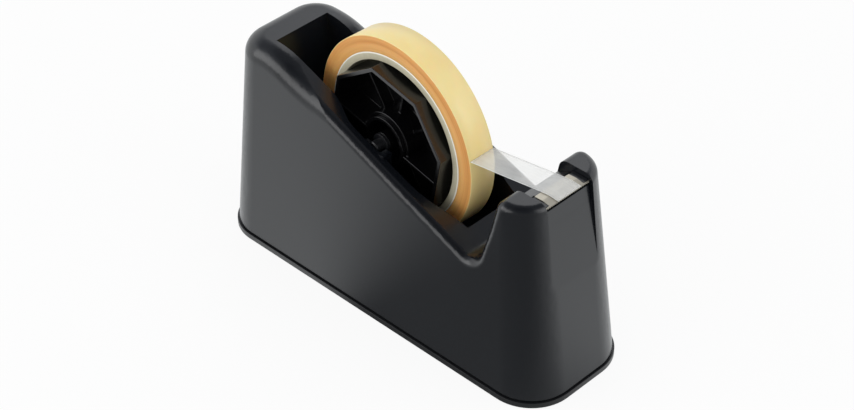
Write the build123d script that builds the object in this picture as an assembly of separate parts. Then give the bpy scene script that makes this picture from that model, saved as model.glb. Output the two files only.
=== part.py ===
"""Weighted desk tape dispenser: casing, well, lift-out spindle with tape roll, and cutter.

X runs from the high rear to the cutter, Y across and Z up; the origin lies on the desk
under the middle of the base. All sizes are in millimetres.
"""
from build123d import *
import os
from math import cos, radians, sin, sqrt, tan

os.makedirs("parts", exist_ok=True)

# ---------------------------------------------------------------- driving dimensions
# base
base_length = 211.6
base_width = 70.0
base_corner_radius = 22.8
rim_height = 2.8
groove_height = 0.8
groove_depth = 1.8
spigot_height = 4.0
spigot_width = 2.0
foot_diameter = 16.0
foot_thickness = 1.6
foot_proud = 0.4
foot_end_inset = 16.3
foot_side_inset = 20.0

# casing
wall = 2.4
casing_setback = 1.0
rear_lean = 4.7
front_lean = 7.45
side_draft = 3.4
top_corner_radius = 16.0
shoulder_height = 112.4
shoulder_radius = 46.0
rail_x = -48.5
rail_height = 105.0
rail_slope = 20.8
rail_round = 4.5
rear_round = 10.0
rear_round_fade = 14.0
rear_fade_radius = 92.0

# tower with its two ears; reaches run back from the front end of the base
ear_top_height = 105.0
ear_foot_reach = 43.0
ear_bend_reach = 36.3
ear_bend_drop = 17.0
ear_top_reach = 33.0
ear_bend_radius = 60.0
ear_corner_extra = 0.8
saddle_radius = 8.0
ear_gap = 29.6
panel_foot_height = 60.0
panel_top_setback = 2.9

# well
well_rear_x = -76.8
well_front_x = 46.5
well_half_width = 16.4
well_bulge_half_width = 22.2
bulge_rear_start_x = -40.5
bulge_rear_end_x = -18.5
bulge_front_start_x = 15.5
well_floor_height = 32.0
well_foot_height = 52.0
well_rear_rake = 8.0
well_front_rake = 5.0
well_ebb_slant = 0.1

# roll and its carrier
roll_x = -7.7
roll_height = 87.6
roll_skew = 2.5
roll_diameter = 100.0
core_bore = 76.2
core_thickness = 3.8
core_width = 15.3
tape_width = 15.0
adapter_sides = 8
adapter_turn = 147.0
adapter_width = 28.8
adapter_wall = 2.0
adapter_web = 2.0
boss_wall = 1.8
boss_width = 25.6
rib_thickness = 1.6
rib_reach = 7.0
small_core_bore = 25.4
hub_width = 30.4
hub_wall = 1.8
hub_sleeve_wall = 2.0
pin_diameter = 6.0
pin_length = 42.6
pin_chamfer = 0.5
collar_diameter = 10.0
collar_width = 1.4
seat_width = 8.4
cradle_width = 16.0
cradle_face = 18.0
cradle_top = 88.0

# cutter; its bend lies a little below the ears' tops
blade_below_ears = 2.3
blade_rear_reach = 25.1
blade_bend_reach = 20.5
blade_front_reach = 15.5
blade_rear_drop = 0.2
blade_front_drop = 0.8
blade_thickness = 0.5
blade_flange_depth = 4.0
blade_flange_width = 18.0
blade_body_width = 22.4
blade_lip = 0.9
tooth_pitch = 1.2
tooth_depth = 0.5
holder_depth = 10.7
holder_rear_drop = 5.5
finger_groove_height = 1.8
finger_groove_depth = 1.6
slot_length = 4.6
slot_width = 1.6
slot_depth = 5.0
slot_margin = 0.3

# loose end of the tape
tail_thickness = 0.2
tail_angle = 13.5
tail_end_shift = 3.2

# ballast and screws
ballast_floor_gap = 0.3
ballast_half_width = 23.0
boss_radius = 4.0
boss_height = 20.0
boss_end_inset = 26.3
boss_side_inset = 7.1
screw_diameter = 2.9
screw_head_diameter = 6.0
screw_head_height = 1.6
screw_length = 14.0
drive_length = 3.6
drive_width = 0.8

# clearances
fit_gap = 0.2
running_gap = 0.06
soft_gap = 0.3
core_gap = 0.1

# helpers for cuts: how far a cutter runs past what it cuts, and what counts as facing up
cut_over = 1.0
tooth_over = 0.01
upward = 0.3

# ---------------------------------------------------------------- derived places
plate_bottom = foot_proud
plate_rim_top = plate_bottom + rim_height
casing_bottom = plate_rim_top + groove_height
pin_radius = pin_diameter / 2
seat_radius = seat_width / 2
seat_offset = pin_length / 2 * sin(radians(roll_skew))
seat_height = roll_height + sqrt((seat_radius - pin_radius - running_gap) ** 2 - seat_offset ** 2)
roll_radius = roll_diameter / 2
core_radius = core_bore / 2
hub_radius = small_core_bore / 2 - core_gap
rail_grade = tan(radians(rail_slope))
spigot_inset = casing_setback + wall + fit_gap + spigot_height * tan(radians(front_lean))
casing_top = max(shoulder_height, ear_top_height) + 2 * wall
foot_x = base_length / 2 - foot_end_inset
foot_y = base_width / 2 - foot_side_inset
boss_x = base_length / 2 - boss_end_inset
boss_y = base_width / 2 - boss_side_inset
ear_top_radius = rail_round + ear_corner_extra
blade_rear_x = base_length / 2 - blade_rear_reach
blade_bend_x = base_length / 2 - blade_bend_reach
blade_front_x = base_length / 2 - blade_front_reach
blade_bend_height = ear_top_height - blade_below_ears
blade_rear_height = blade_bend_height - blade_rear_drop
blade_front_height = blade_bend_height - blade_front_drop
blade_tilt = (blade_front_height - blade_bend_height) / (blade_front_x - blade_bend_x)
holder_floor_height = blade_bend_height - holder_depth
holder_rear_height = blade_bend_height - holder_rear_drop


def rail_at(x):
    """Height of the rail's straight slope above the desk at x."""
    return rail_height - (x - rail_x) * rail_grade


def front_at(z):
    """Where the leaning front face of the casing stands at height z."""
    return base_length / 2 - casing_setback - (z - casing_bottom) * tan(radians(front_lean))


def along_y(face, width):
    """Solid of a face drawn in the X-Z plane, spread evenly to both sides of y = 0."""
    return extrude(face, amount=width / 2, both=True)


def xz_face(*edges):
    """Face in the X-Z plane from edges drawn as (x, z)."""
    return Plane.XZ * make_face(Curve() + list(edges))


def ring_of_lines(points):
    """Straight lines that join the points into a closed ring."""
    return [Line(a, b) for a, b in zip(points, points[1:] + points[:1])]


def blade_line():
    """Top of the blade from its rear edge over the bend to its teeth."""
    return [
        (blade_rear_x, blade_rear_height),
        (blade_bend_x, blade_bend_height),
        (blade_front_x, blade_front_height),
    ]


def roll_frame():
    """Centre of the roll, with Y along the slightly askew spindle."""
    return Pos(roll_x, 0, roll_height) * Rot(0, 0, -roll_skew)


def tube(outer, inner, width, shift=0.0):
    """Tube round the spindle, centred at shift along it."""
    ring = Cylinder(outer, width)
    if inner > 0:
        ring -= Cylinder(inner, width + cut_over)
    return Pos(0, shift, 0) * Rot(90, 0, 0) * ring


# ---------------------------------------------------------------- casing
def base_outline(inset):
    """Rounded outline of the base, drawn in by inset."""
    return RectangleRounded(
        base_length - 2 * inset, base_width - 2 * inset, base_corner_radius - inset
    )


def leaning_block(inset):
    """Block with leaning walls and rounded corners, drawn in by inset on every side."""
    rise = casing_top - casing_bottom
    low = base_outline(casing_setback + inset)
    rear_shift = rise * tan(radians(rear_lean))
    front_shift = rise * tan(radians(front_lean))
    side_shift = rise * tan(radians(side_draft))
    edge = 2 * (casing_setback + inset)
    high = RectangleRounded(
        base_length - edge - rear_shift - front_shift,
        base_width - edge - 2 * side_shift,
        top_corner_radius - inset,
    )
    middle = (rear_shift - front_shift) / 2
    return loft([Pos(0, 0, casing_bottom) * low, Pos(middle, 0, casing_top) * high], ruled=True)


def rounded_at(face, point, radius):
    """Face with its corner nearest a point rounded."""
    x, z = point
    corner = min(face.vertices(), key=lambda v: (v.X - x) ** 2 + (v.Z - z) ** 2)
    return fillet(corner, radius)


def shoulder_corner(inset):
    """Corner where the flat top of the rear meets the slope."""
    top = shoulder_height - inset
    drop = inset / cos(radians(rail_slope))
    return rail_x + (rail_height - drop - top) / rail_grade, top


def ear_back(inset):
    """Foot, bend and top corner of the ears' backs."""
    front = base_length / 2 + inset
    foot_x = front - ear_foot_reach
    foot = (foot_x, rail_at(foot_x) - inset / cos(radians(rail_slope)))
    bend = (front - ear_bend_reach, ear_top_height - ear_bend_drop - inset)
    top = (front - ear_top_reach, ear_top_height - inset)
    return foot, bend, top


def casing_profile(inset):
    """Side view: flat rear, long slope, round saddle, ears' backs and tops."""
    far = base_length
    shoulder = shoulder_corner(inset)
    foot, bend, top = ear_back(inset)
    outline = [(-far, -far), (-far, shoulder[1]), shoulder, foot, bend, top, (far, top[1]), (far, -far)]
    face = Plane.XZ * make_face(Polyline(*outline, close=True))
    face = rounded_at(face, shoulder, shoulder_radius - inset)
    face = rounded_at(face, foot, saddle_radius + inset)
    face = rounded_at(face, bend, ear_bend_radius - inset)
    return rounded_at(face, top, ear_top_radius - inset)


def rear_profile(inset):
    """Side view of the rear's own top, which leaves the slope towards the front."""
    far = base_length
    shoulder = shoulder_corner(inset)
    leave = (rail_x, rail_height - inset / cos(radians(rail_slope)))
    end = (far, leave[1] - (far - rail_x) * tan(radians(rail_slope - rear_round_fade)))
    outline = [(-far, -far), (-far, shoulder[1]), shoulder, leave, end, (far, -far)]
    face = Plane.XZ * make_face(Polyline(*outline, close=True))
    face = rounded_at(face, shoulder, shoulder_radius - inset)
    return rounded_at(face, leave, rear_fade_radius)


def upper_edges(solid, lowest):
    """Edges where the upward faces of a solid meet its walls, above a height."""
    tops = [f for f in solid.faces() if f.normal_at().Z > upward and f.center().Z > lowest]
    edges = [e for f in tops for e in f.edges()]
    return ShapeList(
        [e for e in edges if sum(e.is_same(other) for other in edges) == 1]
    )


def casing_solid(inset):
    """Closed outer form of the casing, drawn in by inset; the tower keeps clear of the rear's top."""
    block = leaning_block(inset)
    body = block & along_y(casing_profile(inset), 2 * base_width)
    if inset == 0:
        body = fillet(upper_edges(body, wall), rail_round)
    rear = block & along_y(rear_profile(inset), 2 * base_width)
    rear = fillet(upper_edges(rear, wall), rear_round - inset)
    tower_x = ear_back(0)[0][0]
    return body & (rear + slab(tower_x, base_length, 0, 2 * casing_top))


def well_outline(grow):
    """Plan of the well: straight sides that swell out beside the hub."""
    rear = well_rear_x - grow
    front = well_front_x + grow
    narrow = well_half_width + grow
    wide = well_bulge_half_width + grow
    edges = []
    for side in (1, -1):
        rear_side = Line((rear, side * narrow), (bulge_rear_start_x, side * narrow))
        swell = Spline(
            (bulge_rear_start_x, side * narrow),
            (bulge_rear_end_x, side * wide),
            tangents=((1, 0), (1, 0)),
        )
        full = Line((bulge_rear_end_x, side * wide), (bulge_front_start_x, side * wide))
        ebb = Spline(
            (bulge_front_start_x, side * wide),
            (front, side * narrow),
            tangents=((1, 0), (1, -well_ebb_slant * side)),
        )
        edges += [rear_side, swell, full, ebb]
    edges.append(Line((rear, narrow), (rear, -narrow)))
    edges.append(Line((front, narrow), (front, -narrow)))
    return make_face(Curve() + edges)


def well_side(grow):
    """Side view of the well: raked end walls and a round floor."""
    top = casing_top
    floor = well_floor_height - grow
    foot = well_foot_height - grow
    rear_top = well_rear_x - grow
    front_top = well_front_x + grow
    rear_foot = rear_top + well_rear_rake
    front_foot = front_top - well_front_rake
    front_lip = (front_top, rail_at(well_front_x) - wall)
    return xz_face(
        Line((rear_top, top), (rear_top, shoulder_height - wall)),
        Line((rear_top, shoulder_height - wall), (rear_foot, foot)),
        ThreePointArc((rear_foot, foot), ((rear_foot + front_foot) / 2, floor), (front_foot, foot)),
        Line((front_foot, foot), front_lip),
        Line(front_lip, (front_top, top)),
        Line((front_top, top), (rear_top, top)),
    )


def well_solid(grow):
    """Space of the well, or its outer form when grown by the wall."""
    plan = extrude(well_outline(grow), amount=casing_top)
    return plan & along_y(well_side(grow), 2 * base_width)


def gap_solid(grow):
    """Space between the ears: recess for the blade holder and sunk front panel."""
    high = 2 * casing_top
    floor = holder_floor_height - grow
    outline = [
        (well_front_x, high),
        (well_front_x, floor),
        (panel_at(floor) - grow, floor),
        (front_at(panel_foot_height) - grow, panel_foot_height - grow),
        (base_length, panel_foot_height - grow),
        (base_length, high),
    ]
    return along_y(xz_face(*ring_of_lines(outline)), ear_gap + 2 * grow)


def cradle(side):
    """Upright post on the well's side wall, with an open seat for the spindle pin."""
    depth = well_bulge_half_width + wall / 2 - cradle_face
    height = cradle_top - well_floor_height + wall / 2
    post = Pos(roll_x, side * (cradle_face + depth / 2), cradle_top - height / 2) * Box(
        cradle_width, depth, height
    )
    seat = Pos(roll_x, side * cradle_face, seat_height) * Rot(90, 0, 0) * Cylinder(
        seat_radius, 2 * (pin_length / 2 + fit_gap - cradle_face)
    )
    mouth_height = cradle_top - seat_height + cut_over
    mouth = Pos(roll_x, side * cradle_face, seat_height + mouth_height / 2) * Box(
        seat_width, 2 * (pin_length / 2 + fit_gap - cradle_face), mouth_height
    )
    return post - seat - mouth


def screw_places():
    """Centres of the four screws that hold the base."""
    return [(sx * boss_x, sy * boss_y) for sx in (-1, 1) for sy in (-1, 1)]


def housing_shell():
    """Moulded casing, open below, with the well and the ears in one piece."""
    outer = casing_solid(0)
    shell = outer - casing_solid(wall)
    shell += outer & (well_solid(wall) + gap_solid(wall))
    for x, y in screw_places():
        boss = Pos(x, y, casing_bottom + boss_height / 2) * Cylinder(boss_radius, boss_height)
        shell += boss & outer
    shell -= well_solid(0)
    shell -= gap_solid(0)
    for side in (-1, 1):
        shell += cradle(side)
    for x, y in screw_places():
        shell -= Pos(x, y, casing_bottom + boss_height / 2 - cut_over) * Cylinder(
            screw_diameter / 2, boss_height
        )
    return shell


# ---------------------------------------------------------------- base
def base_plate():
    """Flat plate with the visible rim, a groove above it and a spigot inside the casing."""
    plate = Pos(0, 0, plate_bottom) * extrude(base_outline(0), amount=rim_height)
    step = extrude(base_outline(groove_depth), amount=groove_height)
    plate += Pos(0, 0, plate_rim_top) * step
    ring = base_outline(spigot_inset) - base_outline(spigot_inset + spigot_width)
    plate += Pos(0, 0, casing_bottom) * extrude(ring, amount=spigot_height)
    for x, y in screw_places():
        plate -= Pos(x, y, casing_bottom + spigot_height / 2) * Cylinder(
            boss_radius + fit_gap, spigot_height
        )
        plate -= Pos(x, y, 0) * Cylinder(screw_diameter / 2 + fit_gap, 4 * rim_height)
        plate -= Pos(x, y, plate_bottom + screw_head_height / 2) * Cylinder(
            screw_head_diameter / 2 + fit_gap, screw_head_height
        )
    for x, y in foot_places():
        plate -= Pos(x, y, foot_thickness / 2) * Cylinder(foot_diameter / 2, foot_thickness)
    return plate


def base_screw(x, y):
    """Pan-head screw from below into a boss of the casing."""
    head = Pos(x, y, plate_bottom + screw_head_height / 2) * Cylinder(
        screw_head_diameter / 2, screw_head_height
    )
    shank = Pos(x, y, plate_bottom + screw_length / 2) * Cylinder(screw_diameter / 2, screw_length)
    drive = Pos(x, y, plate_bottom) * Box(drive_length, drive_width, screw_head_height)
    drive += Pos(x, y, plate_bottom) * Box(drive_width, drive_length, screw_head_height)
    return head + shank - drive


def foot_places():
    """Centres of the four feet."""
    return [(sx * foot_x, sy * foot_y) for sx in (-1, 1) for sy in (-1, 1)]


def foot(x, y):
    """Round rubber foot in its recess."""
    disc = Pos(x, y, foot_thickness / 2) * Cylinder(foot_diameter / 2, foot_thickness)
    return fillet(disc.edges().group_by(Axis.Z)[0], foot_proud / 2)


# ---------------------------------------------------------------- ballast
def ballast_space():
    """Inside of the casing that ballast can fill, clear of every wall."""
    space = casing_solid(wall + soft_gap)
    space -= well_solid(wall + soft_gap)
    space -= gap_solid(wall + soft_gap)
    inside = extrude(base_outline(spigot_inset + spigot_width + soft_gap), amount=casing_top)
    limit = Pos(0, 0, casing_top / 2) * Box(base_length, 2 * ballast_half_width, casing_top)
    return space & inside & limit


def slab(low_x, high_x, low_z, high_z):
    """Wide box between two values of x and two heights."""
    middle = ((low_x + high_x) / 2, 0, (low_z + high_z) / 2)
    return Pos(*middle) * Box(high_x - low_x, 2 * base_width, high_z - low_z)


def ballast(space, low_x, high_x, high_z):
    """Cast weight that stands on the base plate between two values of x."""
    return space & slab(low_x, high_x, casing_bottom, high_z)


# ---------------------------------------------------------------- roll and its carrier
def octagon(radius, width, shift=0.0):
    """Prism with one corner at the turn angle, along the spindle."""
    outline = RegularPolygon(radius, adapter_sides, rotation=adapter_turn)
    return Pos(0, shift, 0) * extrude(Plane.XZ * outline, amount=width / 2, both=True)


def core_adapter():
    """Many-sided drum that carries a large core, with web, boss and ribs."""
    outer = core_radius - core_gap
    apothem = cos(radians(180 / adapter_sides))
    inner = outer - adapter_wall / apothem
    boss_bore = hub_radius + running_gap
    boss_outer = boss_bore + boss_wall
    drum = octagon(outer, adapter_width) - octagon(inner, adapter_width + cut_over)
    drum += octagon(inner + adapter_wall / 2, adapter_web)
    drum += tube(boss_outer, 0, boss_width)
    reach = inner * apothem + adapter_wall / 2
    for k in range(adapter_sides):
        turn = adapter_turn - (k + 0.5) * 360 / adapter_sides
        half_turn = adapter_sides // 2
        across = k % half_turn == half_turn - 1
        height = adapter_width if across else 2 * rib_reach
        rib = Pos(reach / 2, 0, 0) * Box(reach, height, rib_thickness)
        drum += Rot(0, -turn, 0) * rib
    return roll_frame() * (drum - tube(boss_bore, 0, adapter_width + cut_over))


def spindle_hub():
    """Small hub inside the adapter, itself the carrier for small cores."""
    bore = pin_radius + running_gap
    shell = tube(hub_radius, hub_radius - hub_wall, boss_width + 2 * (boss_wall - running_gap))
    sleeve = tube(bore + hub_sleeve_wall, bore, hub_width)
    web = tube(hub_radius - hub_wall / 2, bore, adapter_web)
    return roll_frame() * (shell + sleeve + web)


def spindle_pin():
    """Plain pin whose ends rest in the two seats."""
    pin = tube(pin_radius, 0, pin_length)
    return roll_frame() * chamfer(pin.edges(), pin_chamfer)


def spindle_collar(side):
    """Collar fixed on the pin beside the hub."""
    shift = side * (hub_width / 2 + running_gap + collar_width / 2)
    return roll_frame() * tube(collar_diameter / 2, pin_radius, collar_width, shift)


def tape_core():
    """Cardboard core of the roll."""
    return roll_frame() * tube(core_radius + core_thickness, core_radius, core_width)


def tape_winding():
    """Wound tape on its core."""
    return roll_frame() * tube(roll_radius, core_radius + core_thickness, tape_width)


def tape_tail():
    """Loose film from the peel line on the roll to the blade's teeth."""
    start_radius = roll_radius + soft_gap
    turn = radians(tail_angle)
    start_x = roll_x + start_radius * cos(turn) * cos(radians(roll_skew))
    start_y = -start_radius * cos(turn) * sin(radians(roll_skew))
    start_z = roll_height + start_radius * sin(turn)
    half = tape_width / 2
    near = [(start_x, start_y - half), (blade_front_x, start_y + tail_end_shift - half)]
    far = [(blade_front_x, start_y + tail_end_shift + half), (start_x, start_y + half)]
    plan = extrude(Polygon(*near, *far, align=None), amount=2 * casing_top)
    under = [(start_x, start_z)] + [(x, z + soft_gap) for x, z in blade_line()]
    outline = under + [(x, z + tail_thickness) for x, z in reversed(under)]
    sheet = along_y(xz_face(*ring_of_lines(outline)), base_width)
    return plan & sheet


# ---------------------------------------------------------------- cutter
def blade_holder():
    """Insert between the ears: tape rest, bed for the blade and two end slots."""
    under = blade_thickness
    front_x = panel_at(blade_front_height - under)
    front_z = blade_bend_height - under + blade_tilt * (front_x - blade_bend_x)
    floor = holder_floor_height
    outline = [
        (back_at(floor) + fit_gap, floor),
        (back_at(holder_rear_height) + fit_gap, holder_rear_height),
        (blade_rear_x, blade_rear_height - under),
        (blade_bend_x, blade_bend_height - under),
        (front_x, front_z),
        (panel_at(floor), floor),
    ]
    holder = along_y(xz_face(*ring_of_lines(outline)), ear_gap - 2 * fit_gap)
    flange = Pos(blade_rear_x + under / 2, 0, blade_rear_height - blade_flange_depth / 2)
    holder -= flange * Box(under, blade_flange_width, blade_flange_depth + 2 * fit_gap)
    holder -= Pos(front_x, 0, front_z - finger_groove_height / 2) * Box(
        2 * finger_groove_depth, ear_gap, finger_groove_height
    )
    for side in (-1, 1):
        y = side * ((ear_gap - slot_length) / 2 - fit_gap - slot_margin)
        slot_x = blade_rear_x - slot_width / 2 - slot_margin
        holder -= Pos(slot_x, y, blade_rear_height) * Box(slot_width, slot_length, 2 * slot_depth)
        cheek_y = side * (blade_body_width / 2 + fit_gap + cheek_width() / 2)
        cheek = Pos((blade_rear_x + blade_front_x - blade_lip) / 2, cheek_y, blade_rear_height - under)
        holder += cheek * Box(
            blade_front_x - blade_lip - blade_rear_x - 2 * fit_gap, cheek_width(), under
        )
    return holder


def back_at(z):
    """Where the ears' backs stand at height z, above their bend."""
    _, bend, top = ear_back(0)
    return bend[0] + (z - bend[1]) * (top[0] - bend[0]) / (top[1] - bend[1])


def cheek_width():
    """Width of the holder's raised cheek beside the blade's body."""
    return (ear_gap - blade_body_width) / 2 - 2 * fit_gap


def panel_at(z):
    """Where the sunk front panel stands at height z."""
    top_x = front_at(ear_top_height) - panel_top_setback
    foot_x = front_at(panel_foot_height)
    share = (ear_top_height - z) / (ear_top_height - panel_foot_height)
    return top_x + share * (foot_x - top_x)


def cutter_blade():
    """Bent steel strip with a flange behind and a toothed edge in front."""
    t = blade_thickness
    cut_height = 8 * t
    outline = blade_line() + [(x, z - t) for x, z in reversed(blade_line())]
    blade = along_y(xz_face(*ring_of_lines(outline)), ear_gap - 2 * fit_gap)
    for side in (-1, 1):
        width = (ear_gap - blade_body_width) / 2
        corner = Pos(
            (blade_rear_x + blade_front_x - blade_lip) / 2 - cut_over,
            side * (blade_body_width + width) / 2,
            blade_bend_height,
        ) * Box(blade_front_x - blade_lip - blade_rear_x + 2 * cut_over, width, cut_height)
        blade -= corner
    flange = Pos(blade_rear_x + t / 2, 0, blade_rear_height - blade_flange_depth / 2)
    blade += flange * Box(t, blade_flange_width, blade_flange_depth)
    count = int((ear_gap - 2 * fit_gap) / tooth_pitch)
    for k in range(count):
        y = (k - (count - 1) / 2) * tooth_pitch
        notch = Polygon(
            (blade_front_x + tooth_over, y - tooth_pitch / 2),
            (blade_front_x + tooth_over, y + tooth_pitch / 2),
            (blade_front_x - tooth_depth, y),
            align=None,
        )
        blade -= Pos(0, 0, blade_front_height - cut_height / 2) * extrude(notch, amount=cut_height)
    return blade


# ---------------------------------------------------------------- export
def main():
    """Build every piece and write it under its own name."""
    space = ballast_space()
    floor_top = well_floor_height - wall - ballast_floor_gap
    pieces = {
        "housing_shell": housing_shell(),
        "base_plate": base_plate(),
        "ballast_rear": ballast(space, -base_length / 2, well_rear_x, rail_height - wall),
        "ballast_under": ballast(space, well_rear_x + soft_gap, well_front_x, floor_top),
        "ballast_front": ballast(space, well_front_x + soft_gap, base_length / 2, rail_at(well_front_x)),
        "base_screws": Compound(children=[base_screw(x, y) for x, y in screw_places()]),
        "blade_holder": blade_holder(),
        "cutter_blade": cutter_blade(),
        "core_adapter": core_adapter(),
        "spindle_hub": spindle_hub(),
        "spindle_pin": spindle_pin(),
        "tape_core": tape_core(),
        "tape_winding": tape_winding(),
        "tape_tail": tape_tail(),
    }
    for (x, y), name in zip(foot_places(), ("rear_near", "rear_far", "front_near", "front_far")):
        pieces["foot_" + name] = foot(x, y)
    for side, name in ((-1, "near"), (1, "far")):
        pieces["spindle_collar_" + name] = spindle_collar(side)
    for name, shape in pieces.items():
        export_step(shape, "parts/" + name + ".step")
        print(name, round(shape.volume), "mm3")


main()
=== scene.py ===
"""Looks of the desk tape dispenser, laid over its CAD frame. Metres, Z up."""
from math import atan2, cos, pi, radians, sin

import bmesh
import bpy
from mathutils import Matrix, Vector, noise


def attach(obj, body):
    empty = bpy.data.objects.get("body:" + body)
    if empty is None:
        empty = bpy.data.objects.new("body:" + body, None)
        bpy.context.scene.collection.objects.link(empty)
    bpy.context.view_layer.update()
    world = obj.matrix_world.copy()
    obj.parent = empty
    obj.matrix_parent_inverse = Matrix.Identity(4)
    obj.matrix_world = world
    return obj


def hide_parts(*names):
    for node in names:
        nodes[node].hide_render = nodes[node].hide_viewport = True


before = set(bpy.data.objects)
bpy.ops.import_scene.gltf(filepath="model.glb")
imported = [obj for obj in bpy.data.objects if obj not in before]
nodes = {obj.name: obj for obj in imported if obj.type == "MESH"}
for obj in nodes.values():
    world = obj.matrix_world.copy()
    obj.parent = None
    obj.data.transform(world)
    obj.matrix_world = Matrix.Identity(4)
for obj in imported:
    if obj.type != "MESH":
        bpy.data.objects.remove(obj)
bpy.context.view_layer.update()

MM = 0.001

# ---------------------------------------------------------------- sizes of the real thing
# The roll stands a little askew on its spindle, turned about the upright axis by ROLL_SKEW.
ROLL_CENTRE = Vector((-7.7, 0, 87.6)) * MM
ROLL_SKEW = radians(2.5)
ROLL_RADIUS = 50.0 * MM
CORE_RADIUS = 38.1 * MM
CORE_WALL = 3.8 * MM
CORE_WIDTH = 15.3 * MM
CORE_RIM = 0.3 * MM
CORE_CLEAR = 0.02 * MM
TAPE_WIDTH = 15.0 * MM

BLADE_REAR = Vector((80.7, 0, 102.5)) * MM
BLADE_BEND = Vector((85.3, 0, 102.7)) * MM
BLADE_FRONT = Vector((90.3, 0, 101.9)) * MM
BLADE_WIDTH = 29.2 * MM
BLADE_BODY_WIDTH = 22.4 * MM
BLADE_LIP = 0.9 * MM
BLADE_THICKNESS = 0.5 * MM
BLADE_FLANGE_DEPTH = 4.0 * MM
BLADE_FLANGE_WIDTH = 18.0 * MM
BLADE_STEP = 0.12 * MM
TOOTH_PITCH = 1.2 * MM
TOOTH_DEPTH = 0.5 * MM
TOOTH_OVERLAP = 0.02 * MM

# The film leaves the roll at TAIL_ANGLE above its middle and drifts sideways by TAIL_SHIFT.
TAIL_ANGLE = radians(13.5)
TAIL_SHIFT = 3.2 * MM
TAIL_THICKNESS = 0.14 * MM
TAIL_CLEAR = 0.32 * MM

# Roundings of the CAD edges, one for each kind of moulding.
CASING_EDGE = 0.45 * MM
BASE_EDGE = 0.3 * MM
INSERT_EDGE = 0.2 * MM
DRUM_EDGE = 0.3 * MM
HUB_EDGE = 0.25 * MM
PIN_EDGE = 0.15 * MM
EDGE_SEGMENTS = 2
SHARP_ANGLE = radians(28)
FLAT_ANGLE = radians(0.3)
WELD_DISTANCE = 0.002 * MM

# ---------------------------------------------------------------- room and view
# Gloss sees the room darken towards one side, where a photographer would stand.
DARK_SIDE = radians(-60)
DARK_START = 0.15
DARK_END = 0.9
DARK_SHARE = 0.78
FLOOR_REACH = 6.0
FLOOR_WHITE = 0.9
ROOM_STRENGTH = 0.72

LAMP_TARGET = (0, 0, 0.06)
# name, place, width, height, power
LAMPS = (
    ("near_box", (-0.61, -1.31, 0.68), 1.6, 0.9, 6.8),
    ("back_box", (-0.66, 0.84, 1.19), 0.6, 0.6, 0.9),
    ("front_box", (1.27, 0.34, 0.92), 1.0, 1.0, 3.8),
)
VIEW_PLACE = (0.578988, -0.593225, 0.701146)
VIEW_TARGET = (0.00513, 0, 0.05004)
VIEW_LENS = 94.56
VIEW_SENSOR = 36.0
VIEW_NEAREST = 0.05

tail_reach = (ROLL_RADIUS + TAIL_CLEAR) * cos(TAIL_ANGLE)
tail_start = ROLL_CENTRE + Vector((
    tail_reach * cos(ROLL_SKEW),
    -tail_reach * sin(ROLL_SKEW),
    (ROLL_RADIUS + TAIL_CLEAR) * sin(TAIL_ANGLE),
))
roll_place = Matrix.Translation(ROLL_CENTRE) @ Matrix.Rotation(-ROLL_SKEW, 4, "Z")


# ---------------------------------------------------------------- shader maths
class Value:
    """A socket of a finish; Python's operators on it add Math nodes."""

    def __init__(self, finish, socket):
        self.finish = finish
        self.socket = socket

    def math(self, operation, *others):
        inputs = dict(enumerate((self,) + others))
        return self.finish.node("ShaderNodeMath", {"operation": operation}, inputs)

    def __add__(self, other):
        return self.math("ADD", other)

    __radd__ = __add__

    def __mul__(self, other):
        return self.math("MULTIPLY", other)

    __rmul__ = __mul__

    def __sub__(self, other):
        return self.math("SUBTRACT", other)

    def __rsub__(self, other):
        return self.finish.node("ShaderNodeMath", {"operation": "SUBTRACT"}, {0: other, 1: self})

    def __truediv__(self, other):
        return self.math("DIVIDE", other)

    def __pow__(self, other):
        return self.math("POWER", other)


class Nodes:
    """A tree of nodes, for a shader or a shape, that is filled one call at a time."""

    def __init__(self, tree):
        self.tree = tree
        tree.nodes.clear()

    def node(self, kind, settings=None, inputs=None, output=0):
        """Add one node with its settings first, then its values and links."""
        made = self.tree.nodes.new(kind)
        for name, value in (settings or {}).items():
            if name == "stops":
                self.set_stops(made.color_ramp, value)
            else:
                setattr(made, name, value)
        for key, value in (inputs or {}).items():
            if isinstance(value, Value):
                self.tree.links.new(value.socket, made.inputs[key])
            else:
                made.inputs[key].default_value = value
        return Value(self, made.outputs[output])

    @staticmethod
    def set_stops(ramp, stops):
        """Give a colour ramp its stops as (position, colour)."""
        while len(ramp.elements) < len(stops):
            ramp.elements.new(1.0)
        for element, (position, colour) in zip(ramp.elements, stops):
            element.position = position
            element.color = colour

    def number(self, operation, first, second):
        """One Math node on two numbers."""
        return self.node("ShaderNodeMath", {"operation": operation}, {0: first, 1: second})

    def vector(self, x=0.0, y=0.0, z=0.0):
        """Vector of three numbers."""
        return self.node("ShaderNodeCombineXYZ", inputs={"X": x, "Y": y, "Z": z})

    def axes(self, vector):
        """The three parts of a vector."""
        made = self.node("ShaderNodeSeparateXYZ", inputs={"Vector": vector}).socket.node
        return [Value(self, made.outputs[name]) for name in "XYZ"]

    def between(self, value, low, high):
        """0 below low, 1 above high, smooth between them."""
        settings = {"interpolation_type": "SMOOTHSTEP"}
        inputs = {"Value": value, "From Min": low, "From Max": high}
        return self.node("ShaderNodeMapRange", settings, inputs)

    def mix(self, factor, first, second):
        """Colour between two colours."""
        settings = {"data_type": "RGBA"}
        return self.node("ShaderNodeMix", settings, {0: factor, 6: first, 7: second}, output=2)

    def rays(self, *kinds):
        """1 for one or two named kinds of ray, 0 for the others."""
        made = self.node("ShaderNodeLightPath").socket.node
        found = [Value(self, made.outputs["Is " + kind + " Ray"]) for kind in kinds]
        return found[0] if len(found) == 1 else self.number("MAXIMUM", *found)

    def end(self, shader, last):
        """Join a shader to the output."""
        self.tree.links.new(shader.socket, self.tree.nodes.new(last).inputs["Surface"])


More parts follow.
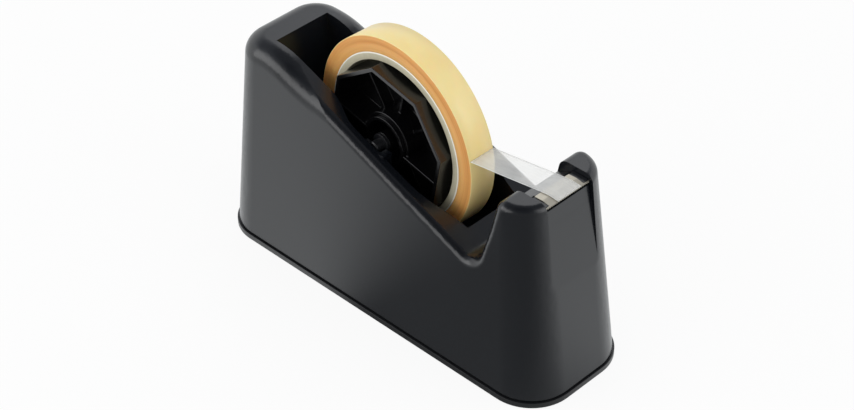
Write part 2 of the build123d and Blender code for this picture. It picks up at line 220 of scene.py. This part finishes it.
class Finish(Nodes):
    """A node material for one finish of the dispenser."""

    def __init__(self, name):
        self.material = bpy.data.materials.new(name)
        self.material.use_nodes = True
        super().__init__(self.material.node_tree)
        self.place = self.node("ShaderNodeTexCoord", output="Object")

    def mapped(self, location=(0, 0, 0), rotation=(0, 0, 0), scale=(1, 1, 1)):
        """Object coordinates moved, turned and scaled."""
        inputs = {"Vector": self.place, "Location": location, "Rotation": rotation, "Scale": scale}
        return self.node("ShaderNodeMapping", inputs=inputs)

    def grain(self, scale, detail=2.0, roughness=0.5, vector=None):
        """Soft noise from 0 to 1 with scale features per metre."""
        inputs = {"Vector": vector or self.place, "Scale": scale}
        inputs.update({"Detail": detail, "Roughness": roughness})
        return self.node("ShaderNodeTexNoise", inputs=inputs)

    def bump(self, height, distance, strength=1.0):
        """Normal from a height."""
        inputs = {"Height": height, "Distance": distance, "Strength": strength}
        return self.node("ShaderNodeBump", inputs=inputs)

    def surface(self, **inputs):
        """Principled shader whose sockets are named in words joined by underscores."""
        sockets = {name.replace("_", " "): value for name, value in inputs.items()}
        return self.node("ShaderNodeBsdfPrincipled", inputs=sockets)

    def done(self, shader):
        """Join the shader and give the material."""
        self.end(shader, "ShaderNodeOutputMaterial")
        return self.material


# ---------------------------------------------------------------- finishes
def moulded_black(name, tone, roughness, grain_depth):
    """Smooth moulded black plastic with a faint flow pattern and soft sheen."""
    finish = Finish(name)
    cloud = finish.grain(18, 3)
    fine = finish.grain(2600, 2, 0.6)
    dark = tuple(c * 0.8 for c in tone) + (1,)
    light = tuple(c * 1.2 for c in tone) + (1,)
    skin = finish.surface(
        Base_Color=finish.mix(cloud, dark, light),
        Roughness=cloud * 0.05 + fine * 0.03 + (roughness - 0.04),
        Normal=finish.bump(fine, grain_depth, 0.5),
        IOR=1.62,
    )
    return finish.done(skin)


def round_roll(finish):
    """Position in the roll's own frame: across, along the spindle, height, and radius."""
    turned = finish.mapped(
        rotation=(0, 0, ROLL_SKEW), location=-(roll_place.inverted().to_3x3() @ ROLL_CENTRE)
    )
    across, along, height = finish.axes(turned)
    return across, along, height, (across * across + height * height) ** 0.5


def wound_tape(name):
    """Roll of film: golden where the outer turn is seen, amber on the wound edges."""
    finish = Finish(name)
    across, along, height, radius = round_roll(finish)
    rings = finish.vector(radius * 4200, along * 40)
    layers = finish.grain(1.0, 4, vector=rings)
    bands = finish.vector(radius * 420, height * 9, across * 9)
    broad = finish.grain(1.0, 2, vector=bands)
    cloud = finish.grain(45, 3)
    edge_tone = finish.node(
        "ShaderNodeValToRGB",
        {"stops": [
            (0.25, (0.60, 0.235, 0.05, 1)),
            (0.5, (0.80, 0.40, 0.12, 1)),
            (0.75, (0.88, 0.50, 0.18, 1)),
        ]},
        {"Fac": layers * 0.35 + broad * 0.65},
    )
    face_tone = finish.mix(cloud, (1.0, 0.70, 0.26, 1), (1.0, 0.86, 0.44, 1))
    on_face = finish.between(radius, ROLL_RADIUS - 0.35 * MM, ROLL_RADIUS - 0.1 * MM)
    skin = finish.surface(
        Base_Color=finish.mix(on_face, edge_tone, face_tone),
        Roughness=0.5 - on_face * 0.12,
        Normal=finish.bump(layers, 0.00005, 0.5),
        Coat_Weight=on_face * 0.25,
        Coat_Roughness=0.2,
        IOR=1.48,
        Subsurface_Weight=0.3,
        Subsurface_Radius=(0.005, 0.0025, 0.0008),
        Subsurface_Scale=1.0,
    )
    return finish.done(skin)


def core_board(name):
    """Pale pressed board with fibres; a painted highlight whitens the outer rim of its face."""
    finish = Finish(name)
    stretched = finish.mapped(scale=(1, 0.35, 1))
    fibre = finish.grain(900, 5, 0.65, stretched)
    fleck = finish.grain(160, 3)
    pulp = finish.mix(fibre * 0.6 + fleck * 0.4, (0.44, 0.40, 0.28, 1), (0.68, 0.64, 0.48, 1))
    outer = CORE_RADIUS + CORE_WALL
    # The outer rim of the face gets a painted highlight where the cut edge catches light; this is
    # not the board's own colour.
    edge = finish.between(round_roll(finish)[3], outer - 0.75 * MM, outer - 0.45 * MM)
    skin = finish.surface(
        # The near-white colour here is the painted highlight on the rim.
        Base_Color=finish.mix(edge, pulp, (0.93, 0.92, 0.84, 1)),
        Roughness=0.8 + fleck * 0.1,
        Normal=finish.bump(fibre, 0.00008, 0.5),
    )
    return finish.done(skin)


def rolled_steel(name):
    """Bright strip steel with fine lines along its length."""
    finish = Finish(name)
    drawn = finish.mapped(scale=(1, 0.02, 1))
    lines = finish.grain(9000, 3, 0.6, drawn)
    smear = finish.grain(120, 3)
    worn = lines * 0.6 + smear * 0.4
    skin = finish.surface(
        Base_Color=finish.mix(worn, (0.36, 0.33, 0.27, 1), (0.78, 0.73, 0.61, 1)),
        Metallic=1.0,
        Roughness=0.26 + lines * 0.12 + smear * 0.1,
        Normal=finish.bump(lines, 0.00001, 0.35),
    )
    return finish.done(skin)


def clear_film(name):
    """Thin translucent film with faint stretch lines; its cut edges and peel line are made more
    opaque, a painted highlight that whitens them.
    """
    finish = Finish(name)
    x, y, _ = finish.axes(finish.place)
    share = (x - tail_start.x) * (1 / (BLADE_FRONT.x - tail_start.x))
    off_centre = (y - share * TAIL_SHIFT - tail_start.y).math("ABSOLUTE")
    # These masks pick the cut edges and the peel line, where a painted highlight is laid.
    side = finish.between(off_centre, TAPE_WIDTH / 2 - 0.45 * MM, TAPE_WIDTH / 2 - 0.15 * MM)
    peel_highlight = 1.0 - finish.between(x, tail_start.x + 0.25 * MM, tail_start.x + 0.6 * MM)
    edge = finish.number("MAXIMUM", side, peel_highlight)
    drawn = finish.mapped(scale=(0.05, 1, 1))
    lines = finish.grain(1500, 3, 0.6, drawn)
    cloud = finish.grain(60, 3)
    skin = finish.surface(
        Base_Color=finish.mix(cloud, (0.96, 0.97, 0.97, 1), (1.0, 1.0, 0.97, 1)),
        Roughness=0.18 + lines * 0.12,
        # Extra opacity at the edges and the peel line whitens the film there: painted highlight.
        Alpha=0.16 + lines * 0.10 + cloud * 0.30 + edge * 0.4,
        Normal=finish.bump(lines, 0.00003, 0.5),
        IOR=1.5,
    )
    return finish.done(skin)


def dark_rubber(name):
    """Matt rubber with a fine pore."""
    finish = Finish(name)
    pore = finish.grain(1800, 3)
    skin = finish.surface(
        Base_Color=finish.mix(pore, (0.012, 0.012, 0.012, 1), (0.035, 0.034, 0.033, 1)),
        Roughness=0.75 + pore * 0.15,
        Normal=finish.bump(pore, 0.00005, 0.6),
    )
    return finish.done(skin)


def cast_stone(name):
    """Cast weight, never seen from outside."""
    finish = Finish(name)
    sand = finish.grain(700, 5, 0.7)
    skin = finish.surface(
        Base_Color=finish.mix(sand, (0.28, 0.27, 0.25, 1), (0.56, 0.54, 0.5, 1)),
        Roughness=0.85 + sand * 0.1,
        Normal=finish.bump(sand, 0.0002, 0.6),
    )
    return finish.done(skin)


casing_black = moulded_black("casing_black", (0.0044, 0.0056, 0.0082), 0.25, 0.00001)
base_black = moulded_black("base_black", (0.007, 0.0075, 0.009), 0.36, 0.00002)
hub_black = moulded_black("hub_black", (0.0022, 0.0022, 0.0026), 0.22, 0.000006)
tape_amber = wound_tape("tape_amber")
board = core_board("board")
steel = rolled_steel("steel")
film = clear_film("film")
rubber = dark_rubber("rubber")
stone = cast_stone("stone")


# ---------------------------------------------------------------- making pieces
def piece(name, mesh, material, body, stands_for=()):
    """Link a finished mesh as a piece of the dispenser."""
    made = bpy.data.objects.new(name, mesh)
    bpy.context.scene.collection.objects.link(made)
    mesh.materials.clear()
    mesh.materials.append(material)
    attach(made, body)
    if stands_for:
        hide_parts(*stands_for)


def flattened(name, maker):
    """Plain mesh of a helper object with its modifiers applied."""
    graph = bpy.context.evaluated_depsgraph_get()
    mesh = bpy.data.meshes.new_from_object(maker.evaluated_get(graph))
    mesh.name = name
    bpy.data.objects.remove(maker)
    return mesh


def softened(node, edge):
    """Copy of a CAD node's mesh, joined up, with its sharp edges slightly rounded."""
    source = nodes[node].data
    shape = bmesh.new()
    shape.from_mesh(source)
    bmesh.ops.remove_doubles(shape, verts=shape.verts, dist=WELD_DISTANCE)
    bmesh.ops.dissolve_limit(
        shape, angle_limit=FLAT_ANGLE, verts=shape.verts, edges=shape.edges
    )
    mesh = bpy.data.meshes.new(node + "_soft")
    shape.to_mesh(mesh)
    shape.free()
    maker = bpy.data.objects.new(node + "_maker", mesh)
    bpy.context.scene.collection.objects.link(maker)
    for face in mesh.polygons:
        face.use_smooth = True
    bevel = maker.modifiers.new("edge", "BEVEL")
    bevel.width = edge
    bevel.segments = EDGE_SEGMENTS
    bevel.limit_method = "ANGLE"
    bevel.angle_limit = SHARP_ANGLE
    bevel.harden_normals = True
    bevel.use_clamp_overlap = True
    weighted = maker.modifiers.new("shade", "WEIGHTED_NORMAL")
    weighted.keep_sharp = True
    return flattened(node + "_soft", maker)


def turned(profile, segments):
    """Closed ring turned from a profile of (radius, offset) round the roll's own axis."""
    shape = bmesh.new()
    rings = []
    for k in range(segments):
        angle = 2 * pi * k / segments
        rings.append([
            shape.verts.new(roll_place @ Vector((r * cos(angle), y, r * sin(angle))))
            for r, y in profile
        ])
    count = len(profile)
    for k in range(segments):
        here, following = rings[k], rings[(k + 1) % segments]
        for i in range(count):
            j = (i + 1) % count
            shape.faces.new((here[i], here[j], following[j], following[i]))
    bmesh.ops.recalc_face_normals(shape, faces=shape.faces)
    mesh = bpy.data.meshes.new("turned")
    shape.to_mesh(mesh)
    shape.free()
    for face in mesh.polygons:
        face.use_smooth = True
    return mesh


def casing():
    """Moulded casing with well, ears and ramp."""
    mesh = softened("housing_shell", CASING_EDGE)
    piece("casing", mesh, casing_black, "root", ["housing_shell"])


def base():
    """Base plate with its visible rim."""
    mesh = softened("base_plate", BASE_EDGE)
    piece("base", mesh, base_black, "root", ["base_plate"])


def tape_roll():
    """Wound tape: the edges of its turns stand a hair in and out."""
    inner = CORE_RADIUS + CORE_WALL
    half = TAPE_WIDTH / 2
    turns = 26
    shoulder, inset, crown_inset = 0.12 * MM, 0.07 * MM, 0.16 * MM
    wander, near_row, far_row = 11, 0.3, 7.7
    near, far = [], []
    for k in range(turns):
        share = k / (turns - 1)
        radius = inner + share * (ROLL_RADIUS - shoulder - inner)
        step = noise.noise(Vector((share * wander, near_row, 0))) * 0.09 * MM
        back = noise.noise(Vector((share * wander, far_row, 0))) * 0.09 * MM
        near.append((radius, -half + inset + step))
        far.append((radius, half - inset + back))
    crown = [(ROLL_RADIUS, y) for y in (-half + crown_inset, 0.0, half - crown_inset)]
    mesh = turned(near + crown + far[::-1], 256)
    piece("tape_roll", mesh, tape_amber, "roll", ["tape_winding"])


def core():
    """Board core, a little wider than the tape, with its rims rounded."""
    inner, outer = CORE_RADIUS, CORE_RADIUS + CORE_WALL - CORE_CLEAR
    half = CORE_WIDTH / 2
    rim = CORE_RIM
    middle = CORE_RIM * 0.3
    profile = [
        (inner, -half + rim), (inner + middle, -half + middle), (inner + rim, -half),
        (outer - rim, -half), (outer - middle, -half + middle), (outer, -half + rim),
        (outer, half - rim), (outer - middle, half - middle), (outer - rim, half),
        (inner + rim, half), (inner + middle, half - middle), (inner, half - rim),
    ]
    piece("core", turned(profile, 192), board, "roll", ["tape_core"])


def carriers():
    """Eight-sided drum, small hub, pin and collars."""
    drum = softened("core_adapter", DRUM_EDGE)
    piece("drum", drum, hub_black, "roll", ["core_adapter"])
    small_hub = softened("spindle_hub", HUB_EDGE)
    piece("small_hub", small_hub, hub_black, "roll", ["spindle_hub"])
    pin = softened("spindle_pin", PIN_EDGE)
    piece("pin", pin, base_black, "spindle", ["spindle_pin"])
    for side in ("near", "far"):
        node = "spindle_collar_" + side
        collar = softened(node, PIN_EDGE)
        piece("collar_" + side, collar, base_black, "spindle", [node])


def cutter():
    """Bent steel strip with its toothed edge, and the insert that holds it."""
    insert = softened("blade_holder", INSERT_EDGE)
    piece("insert", insert, casing_black, "root", ["blade_holder"])
    piece("blade", blade_strip(), steel, "root", ["cutter_blade"])
    piece("blade_teeth", row_of_teeth(), steel, "root")


def blade_strip():
    """Strip of the blade: flange behind, narrower body, and a full-width lip before the teeth."""
    down = Vector((0, 0, -BLADE_THICKNESS))
    ahead = Vector((BLADE_THICKNESS, 0, 0))
    slope = (BLADE_FRONT - BLADE_BEND).normalized()
    first = (BLADE_BEND - BLADE_REAR).normalized()
    flange_foot = BLADE_REAR - Vector((0, 0, BLADE_FLANGE_DEPTH))
    flange, body, full = BLADE_FLANGE_WIDTH / 2, BLADE_BODY_WIDTH / 2, BLADE_WIDTH / 2
    edge = BLADE_FRONT - slope * TOOTH_DEPTH
    lip = BLADE_FRONT - slope * BLADE_LIP
    rows = [
        (flange_foot, flange_foot + ahead, flange),
        (BLADE_REAR, BLADE_REAR + ahead + down, flange),
        (BLADE_REAR + first * BLADE_STEP, BLADE_REAR + ahead + first * BLADE_STEP + down, body),
        (BLADE_BEND, BLADE_BEND + down, body),
        (lip - slope * BLADE_STEP, lip - slope * BLADE_STEP + down, body),
        (lip, lip + down, full),
        (edge, edge + down, full),
    ]
    shape = bmesh.new()
    loops = []
    for top, under, half in rows:
        out = Vector((0, half, 0))
        corners = (top - out, top + out, under + out, under - out)
        loops.append([shape.verts.new(corner) for corner in corners])
    for a, b in zip(loops, loops[1:]):
        for i in range(4):
            j = (i + 1) % 4
            shape.faces.new((a[i], a[j], b[j], b[i]))
    shape.faces.new(loops[0])
    shape.faces.new(loops[-1])
    bmesh.ops.recalc_face_normals(shape, faces=shape.faces)
    mesh = bpy.data.meshes.new("blade")
    shape.to_mesh(mesh)
    shape.free()
    return mesh


def row_of_teeth():
    """Teeth of the cutting edge: Geometry Nodes repeat one wedge along it."""
    tree = bpy.data.node_groups.new("row_of_teeth", "GeometryNodeTree")
    sizes = {
        "Width": BLADE_WIDTH,
        "Pitch": TOOTH_PITCH,
        "Depth": TOOTH_DEPTH,
        "Thickness": BLADE_THICKNESS,
    }
    sockets = {
        name: tree.interface.new_socket(name, in_out="INPUT", socket_type="NodeSocketFloat")
        for name in sizes
    }
    tree.interface.new_socket("Geometry", in_out="OUTPUT", socket_type="NodeSocketGeometry")
    build = Nodes(tree)
    given = tree.nodes.new("NodeGroupInput")
    width, pitch, depth, thickness = (Value(build, given.outputs[name]) for name in sizes)
    count = (width / pitch).math("FLOOR")
    line = build.node("GeometryNodeMeshLine", {"mode": "OFFSET"}, {
        "Count": count,
        "Start Location": build.vector(y=(1.0 - count) * pitch * 0.5),
        "Offset": build.vector(y=pitch),
    })
    # Three sides as wide as the pitch, squeezed along X to the depth of a tooth.
    wedge_radius = pitch * (1 / 3 ** 0.5)
    wedge = build.node("GeometryNodeMeshCylinder", inputs={
        "Vertices": 3, "Radius": wedge_radius, "Depth": thickness,
    })
    wedge = build.node("GeometryNodeTransform", inputs={
        "Geometry": wedge,
        "Translation": build.vector(x=depth * (1 / 3)),
        "Scale": build.vector(depth / (wedge_radius * 1.5), 1.0, 1.0),
    })
    row = build.node("GeometryNodeInstanceOnPoints", inputs={"Points": line, "Instance": wedge})
    row = build.node("GeometryNodeRealizeInstances", inputs={"Geometry": row})
    row = build.node("GeometryNodeSetMaterial", inputs={"Geometry": row, "Material": steel})
    tree.links.new(row.socket, tree.nodes.new("NodeGroupOutput").inputs["Geometry"])
    maker = bpy.data.objects.new("teeth_maker", bpy.data.meshes.new("teeth_base"))
    bpy.context.scene.collection.objects.link(maker)
    repeat = maker.modifiers.new("teeth", "NODES")
    repeat.node_group = tree
    for name, size in sizes.items():
        repeat[sockets[name].identifier] = size
    mesh = flattened("blade_teeth", maker)
    slope = BLADE_FRONT - BLADE_BEND
    tilt = Matrix.Rotation(atan2(-slope.z, slope.x), 4, "Y")
    edge = BLADE_FRONT - slope.normalized() * (TOOTH_DEPTH + TOOTH_OVERLAP)
    mesh.transform(Matrix.Translation(edge - Vector((0, 0, BLADE_THICKNESS / 2))) @ tilt)
    return mesh


def loose_end():
    """Film drawn tight from the peel line to the blade, and over the blade to its front."""
    line = [Vector((tail_start.x, 0, tail_start.z))]
    line += [p + Vector((0, 0, TAIL_CLEAR)) for p in (BLADE_REAR, BLADE_BEND, BLADE_FRONT)]
    runs, spans = 36, 10
    rounding = 1e-9
    shape = bmesh.new()
    rows = []
    for k in range(runs + 1):
        share = k / runs
        x = line[0].x + share * (line[-1].x - line[0].x)
        for a, b in zip(line, line[1:]):
            if a.x <= x <= b.x + rounding:
                z = a.z + (b.z - a.z) * (x - a.x) / (b.x - a.x)
                break
        middle = tail_start.y + share * TAIL_SHIFT
        rows.append([
            shape.verts.new((x, middle + (i / spans - 0.5) * TAPE_WIDTH, z))
            for i in range(spans + 1)
        ])
    for a, b in zip(rows, rows[1:]):
        for i in range(spans):
            shape.faces.new((a[i], b[i], b[i + 1], a[i + 1]))
    mesh = bpy.data.meshes.new("loose_end")
    shape.to_mesh(mesh)
    shape.free()
    maker = bpy.data.objects.new("loose_maker", mesh)
    bpy.context.scene.collection.objects.link(maker)
    thick = maker.modifiers.new("thickness", "SOLIDIFY")
    thick.thickness = TAIL_THICKNESS
    thick.offset = 1.0
    mesh = flattened("loose_end", maker)
    for face in mesh.polygons:
        face.use_smooth = True
    piece("loose_end", mesh, film, "spindle", ["tape_tail"])


def hidden_parts():
    """Finishes of the parts under and inside the casing."""
    for name, node in nodes.items():
        if name.startswith("foot_"):
            dress(node, rubber)
        elif name.startswith("ballast_"):
            dress(node, stone)
        elif name == "base_screws":
            dress(node, steel)


def dress(node, material):
    """Give a CAD node its finish."""
    node.data.materials.clear()
    node.data.materials.append(material)


# ---------------------------------------------------------------- room, lamps and camera
def towards_dark(tree, x, y):
    """1 towards the dark side of the room, 0 on the other sides, whatever the camera's place."""
    distance = (x * x + y * y) ** 0.5
    facing = (x * cos(DARK_SIDE) + y * sin(DARK_SIDE)) * (distance + 1e-6) ** -1.0
    return tree.between(facing, DARK_START, DARK_END)


def floor():
    """Wide white table top that keeps the shadow; gloss sees it darken towards one side."""
    finish = Finish("floor_white")
    x, y, _ = finish.axes(finish.place)
    dust = finish.grain(3, 2)
    plain = finish.surface(
        Base_Color=finish.mix(dust, (0.93, 0.93, 0.93, 1), (0.95, 0.95, 0.95, 1)), Roughness=0.6
    )
    tone = 1.0 - towards_dark(finish, x, y) * DARK_SHARE
    seen = finish.node(
        "ShaderNodeEmission", inputs={"Color": finish.mix(tone, (0, 0, 0, 1), (0.97, 0.99, 1, 1))}
    )
    white = finish.node("ShaderNodeEmission", inputs={"Color": (1, 1, 1, 1), "Strength": 1.0})
    shown = finish.rays("Camera") * FLOOR_WHITE
    mixed = finish.node("ShaderNodeMixShader", inputs={0: shown, 1: plain, 2: white})
    mixed = finish.node("ShaderNodeMixShader", inputs={0: finish.rays("Glossy"), 1: mixed, 2: seen})
    mesh = bpy.data.meshes.new("floor")
    signs = ((-1, -1), (1, -1), (1, 1), (-1, 1))
    corners = [(x_sign * FLOOR_REACH, y_sign * FLOOR_REACH, 0) for x_sign, y_sign in signs]
    mesh.from_pydata(corners, [], [(0, 1, 2, 3)])
    mesh.materials.append(finish.done(mixed))
    ground = bpy.data.objects.new("floor", mesh)
    bpy.context.scene.collection.objects.link(ground)


def room():
    """White studio that gloss sees with a dark ceiling and one dark side."""
    world = bpy.data.worlds.new("room")
    bpy.context.scene.world = world
    world.use_nodes = True
    tree = Nodes(world.node_tree)
    x, y, z = tree.axes(tree.node("ShaderNodeTexCoord", output="Generated"))
    ceiling = tree.node(
        "ShaderNodeValToRGB",
        {"stops": [
            (0.0, (1, 1, 1, 1)), (0.45, (0.95, 0.97, 1, 1)),
            (0.66, (0.42, 0.44, 0.48, 1)), (0.9, (0.16, 0.165, 0.18, 1)),
        ]},
        {"Fac": z},
    )
    dark = towards_dark(tree, x, y)
    gloss = tree.mix(dark * DARK_SHARE, ceiling, (0.02, 0.02, 0.022, 1))
    background = "ShaderNodeBackground"
    seen = tree.node(background, inputs={"Color": (1, 1, 1, 1), "Strength": 1.0})
    mirrored = tree.node(background, inputs={"Color": gloss})
    lit = tree.node(background, inputs={"Color": (0.98, 0.99, 1, 1), "Strength": ROOM_STRENGTH})
    mixed = tree.node("ShaderNodeMixShader", inputs={0: tree.rays("Glossy"), 1: lit, 2: mirrored})
    straight = tree.rays("Camera", "Transmission")
    mixed = tree.node("ShaderNodeMixShader", inputs={0: straight, 1: mixed, 2: seen})
    tree.end(mixed, "ShaderNodeOutputWorld")


def softbox(name, place, width, height, power):
    """Soft rectangular lamp that points at the dispenser."""
    lamp = bpy.data.lights.new(name, "AREA")
    lamp.shape = "RECTANGLE"
    lamp.size = width
    lamp.size_y = height
    lamp.energy = power
    holder = bpy.data.objects.new(name, lamp)
    bpy.context.scene.collection.objects.link(holder)
    holder.location = place
    holder.rotation_mode = "QUATERNION"
    aim = Vector(LAMP_TARGET) - Vector(place)
    holder.rotation_quaternion = aim.to_track_quat("-Z", "Y")


def camera():
    """The photograph's view."""
    data = bpy.data.cameras.new("view")
    data.lens = VIEW_LENS
    data.sensor_width = VIEW_SENSOR
    data.clip_start = VIEW_NEAREST
    eye = bpy.data.objects.new("view", data)
    bpy.context.scene.collection.objects.link(eye)
    eye.location = VIEW_PLACE
    eye.rotation_mode = "QUATERNION"
    aim = Vector(VIEW_TARGET) - eye.location
    eye.rotation_quaternion = aim.to_track_quat("-Z", "Y")
    bpy.context.scene.camera = eye


casing()
base()
tape_roll()
core()
carriers()
cutter()
loose_end()
hidden_parts()
floor()
room()
for lamp in LAMPS:
    softbox(*lamp)
camera()
bpy.context.scene.view_settings.view_transform = "Standard"
